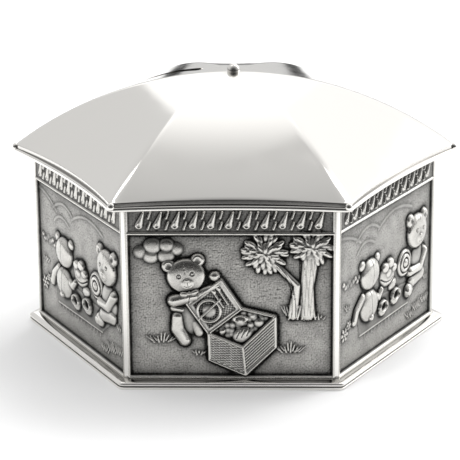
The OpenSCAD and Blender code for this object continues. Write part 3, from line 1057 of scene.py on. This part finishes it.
class MONEYBOX_OT_stopper(bpy.types.Operator):
    """Soft moulded plug in the base, with a dimple and a bar to pull it by"""

    bl_idname = "moneybox.stopper"
    bl_label = "Stopper"

    def execute(self, context):
        lowest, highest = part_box("stopper")
        flange, bottom, top = highest.x, lowest.z, highest.z
        seat, neck, hollow = 1.1 * MM, 16.95 * MM, 15.35 * MM
        floor, boss, dimple = 2.0 * MM, 8.4 * MM, 7.5 * MM
        boss_top, dimple_top, soft = 3.4 * MM, 2.6 * MM, 0.2 * MM
        middle = 0.3 * MM
        sections = [at(ring(middle), boss_top), at(ring(boss - soft), boss_top)]
        sections.append(at(ring(boss), boss_top - soft))
        sections += [at(ring(boss), floor), at(ring(hollow), floor), at(ring(hollow), top - soft)]
        sections += [at(ring(hollow + soft), top), at(ring(neck - soft), top), at(ring(neck), top - soft)]
        sections += [at(ring(neck), seat), at(ring(flange - soft), seat), at(ring(flange), seat - soft)]
        sections += [at(ring(flange), bottom + soft), at(ring(flange - soft), bottom)]
        sections += [at(ring(dimple + soft), bottom), at(ring(dimple), bottom + soft)]
        sections += [at(ring(dimple), dimple_top - soft), at(ring(dimple - soft), dimple_top)]
        sections.append(at(ring(middle), dimple_top))
        bm = loft(sections, [math.tau * i / 96 for i in range(96)])
        bar = bmesh.ops.create_cube(bm, size=1)["verts"]
        bmesh.ops.scale(bm, vec=(2 * dimple + 0.2 * MM, 3 * MM, 0.9 * MM), verts=bar)
        bmesh.ops.translate(bm, vec=(0, 0, bottom + 0.46 * MM), verts=bar)
        edges = list({e for v in bar for e in v.link_edges})
        bmesh.ops.bevel(bm, geom=edges, offset=0.2 * MM, segments=3, profile=0.5, affect="EDGES", material=-1)
        shade(bm, math.radians(40))
        mesh = new_mesh("stopper_plug", bm)
        plastic = finish_material(moulded_plastic)
        settle(mesh, "stopper_plug", "stopper", plastic, "stopper")
        return {"FINISHED"}


# ---------------------------------------------------------------- stage


class MONEYBOX_OT_stage(bpy.types.Operator):
    """Pale table, soft studio light and the camera"""

    bl_idname = "moneybox.stage"
    bl_label = "Stage"

    def execute(self, context):
        stage = context.scene.money_box_stage
        self.table(context)
        self.world(context)
        self.softbox(context, "key", (0.45, 0.6, 0.9), (0.7, 0.7), stage.key_power, glossy=False)
        self.softbox(context, "fill", (-0.55, -0.65, 0.7), (0.9, 0.6), stage.fill_power, glossy=False)
        for side in (-1, 1):
            place = (0.36 * side, 0.08, 0.95)
            self.softbox(context, f"strip_light_{side}", place, (0.12, 0.5), stage.strip_power)
        self.camera(context, stage)
        context.scene.view_settings.view_transform = "Standard"
        return {"FINISHED"}

    def softbox(self, context, name, place, size, power, glossy=True):
        lamp = bpy.data.lights.new(name, "AREA")
        lamp.shape, lamp.energy = "RECTANGLE", power
        lamp.size, lamp.size_y = size
        holder = bpy.data.objects.new(name, lamp)
        holder.location = place
        holder.rotation_euler = (Vector((0, 0, 0.03)) - Vector(place)).to_track_quat("-Z", "Y").to_euler()
        holder.visible_glossy = glossy
        context.scene.collection.objects.link(holder)

    def table(self, context):
        bm = bmesh.new()
        bmesh.ops.create_grid(bm, x_segments=1, y_segments=1, size=6)
        floor = bpy.data.objects.new("table", new_mesh("table", bm))
        context.scene.collection.objects.link(floor)
        material, tree = blank("white_laminate")
        paint = add(tree, "ShaderNodeBsdfDiffuse", {"Color": linear("#f1f1f1")})
        dark = add(tree, "ShaderNodeBsdfDiffuse", {"Color": linear("#3a3a3a")})
        # Painted shade seen only in reflections: glossy rays see the table dark grey outside a round patch,
        # which reaches further behind the box
        where = add(tree, "ShaderNodeTexCoord").outputs["Object"]
        away = add(tree, "ShaderNodeVectorMath", {0: where, 1: (0, 0.25, 0)}, operation="DISTANCE")
        reflection_shade_mask = add(tree, "ShaderNodeMath", {0: span(tree, away.outputs["Value"], 0.38, 0.48),
                                             1: add(tree, "ShaderNodeLightPath").outputs["Is Glossy Ray"]},
                    operation="MULTIPLY")
        mixed = add(tree, "ShaderNodeMixShader", {0: reflection_shade_mask.outputs["Value"], 1: paint.outputs["BSDF"],
                                                  2: dark.outputs["BSDF"]})
        add(tree, "ShaderNodeOutputMaterial", {"Surface": mixed.outputs["Shader"]})
        floor.data.materials.append(material)

    def world(self, context):
        """A white screen behind, a grey one on the left, a window on the right and a dim room in front."""
        world = bpy.data.worlds.new("studio")
        world.use_nodes = True
        tree = world.node_tree
        tree.nodes.clear()
        where = add(tree, "ShaderNodeTexCoord").outputs["Generated"]
        x, y, z = add(tree, "ShaderNodeSeparateXYZ", {"Vector": where}).outputs
        depth = add(tree, "ShaderNodeMath", {0: y, 1: 0.02}, operation="MAXIMUM").outputs["Value"]
        turn = add(tree, "ShaderNodeMath", {0: x, 1: depth}, operation="DIVIDE").outputs["Value"]
        grey, white, pale, window, ceiling, dim, gap = 0.95, 1.65, 1.5, 4.5, 0.84, 0.06, 0.9
        behind = span(tree, turn, -0.38, -0.33, grey, white)
        right = span(tree, turn, 0.24, 0.3)
        screens = add(tree, "ShaderNodeMix", {"Factor": right, "A": behind, "B": pale}).outputs["Result"]
        beyond = span(tree, turn, 0.9, 1.8)
        screens = add(tree, "ShaderNodeMix", {"Factor": beyond, "A": screens, "B": window}).outputs["Result"]
        # The white screen stops a little above the table, and the screens fade into the ceiling
        foot = add(tree, "ShaderNodeMath", {0: span(tree, z, 0.24, 0.32), 1: span(tree, turn, 0.2, 0.6)},
                   operation="MAXIMUM").outputs["Value"]
        foot = add(tree, "ShaderNodeMath", {0: foot, 1: span(tree, turn, -0.2, -0.6)},
                   operation="MAXIMUM").outputs["Value"]
        screens = add(tree, "ShaderNodeMix", {"Factor": foot, "A": gap, "B": screens}).outputs["Result"]
        room = span(tree, y, -1, 0, dim, ceiling)
        light = add(tree, "ShaderNodeMix", {"Factor": span(tree, y, 0, 0.6), "A": room, "B": screens})
        backdrop = add(tree, "ShaderNodeLightPath").outputs["Is Camera Ray"]
        seen = add(tree, "ShaderNodeMix", {"Factor": backdrop, "A": light.outputs["Result"], "B": 1.0})
        sky = add(tree, "ShaderNodeBackground", {"Strength": seen.outputs["Result"]})
        add(tree, "ShaderNodeOutputWorld", {"Surface": sky.outputs["Background"]})
        context.scene.world = world

    def camera(self, context, stage):
        eye = bpy.data.objects.new("camera", bpy.data.cameras.new("camera"))
        context.scene.collection.objects.link(eye)
        turn, rise = stage.azimuth, stage.elevation
        back = Vector((math.sin(turn) * math.cos(rise), -math.cos(turn) * math.cos(rise), math.sin(rise)))
        eye.location = Vector(stage.aim) + back * stage.distance
        aimed = back.to_track_quat("Z", "Y")
        eye.rotation_mode = "QUATERNION"
        eye.rotation_quaternion = aimed @ Matrix.Rotation(stage.roll, 4, "Z").to_quaternion()
        eye.data.lens, eye.data.sensor_width = stage.lens, 36
        eye.data.clip_start, eye.data.clip_end = 0.01, 20
        context.scene.camera = eye


class MONEYBOX_PT_panel(bpy.types.Panel):
    bl_idname = "MONEYBOX_PT_panel"
    bl_label = "Money Box"
    bl_space_type = "VIEW_3D"
    bl_region_type = "UI"
    bl_category = "Money Box"

    def draw(self, context):
        for group in GROUPS.values():
            settings = getattr(context.scene, group)
            box = self.layout.box()
            for name in settings.__annotations__:
                box.prop(settings, name)
        for operator in OPERATORS:
            self.layout.operator(operator.bl_idname)


GROUPS = {
    MoneyBoxRoof: "money_box_roof",
    MoneyBoxRelief: "money_box_relief",
    MoneyBoxFinish: "money_box_finish",
    MoneyBoxStage: "money_box_stage",
}
OPERATORS = (
    MONEYBOX_OT_base,
    MONEYBOX_OT_stopper,
    MONEYBOX_OT_panels,
    MONEYBOX_OT_strips,
    MONEYBOX_OT_rim,
    MONEYBOX_OT_canopy,
    MONEYBOX_OT_tips,
    MONEYBOX_OT_finial,
    MONEYBOX_OT_stage,
)


def register():
    for cls in (*GROUPS, *OPERATORS, MONEYBOX_PT_panel):
        bpy.utils.register_class(cls)
    for cls, name in GROUPS.items():
        setattr(bpy.types.Scene, name, bpy.props.PointerProperty(type=cls))


def unregister():
    for name in GROUPS.values():
        delattr(bpy.types.Scene, name)
    for cls in reversed((*GROUPS, *OPERATORS, MONEYBOX_PT_panel)):
        bpy.utils.unregister_class(cls)


def main():
    register()
    for operator in OPERATORS:
        group, name = operator.bl_idname.split(".")
        getattr(getattr(bpy.ops, group), name)()


if __name__ == "__main__":
    main()
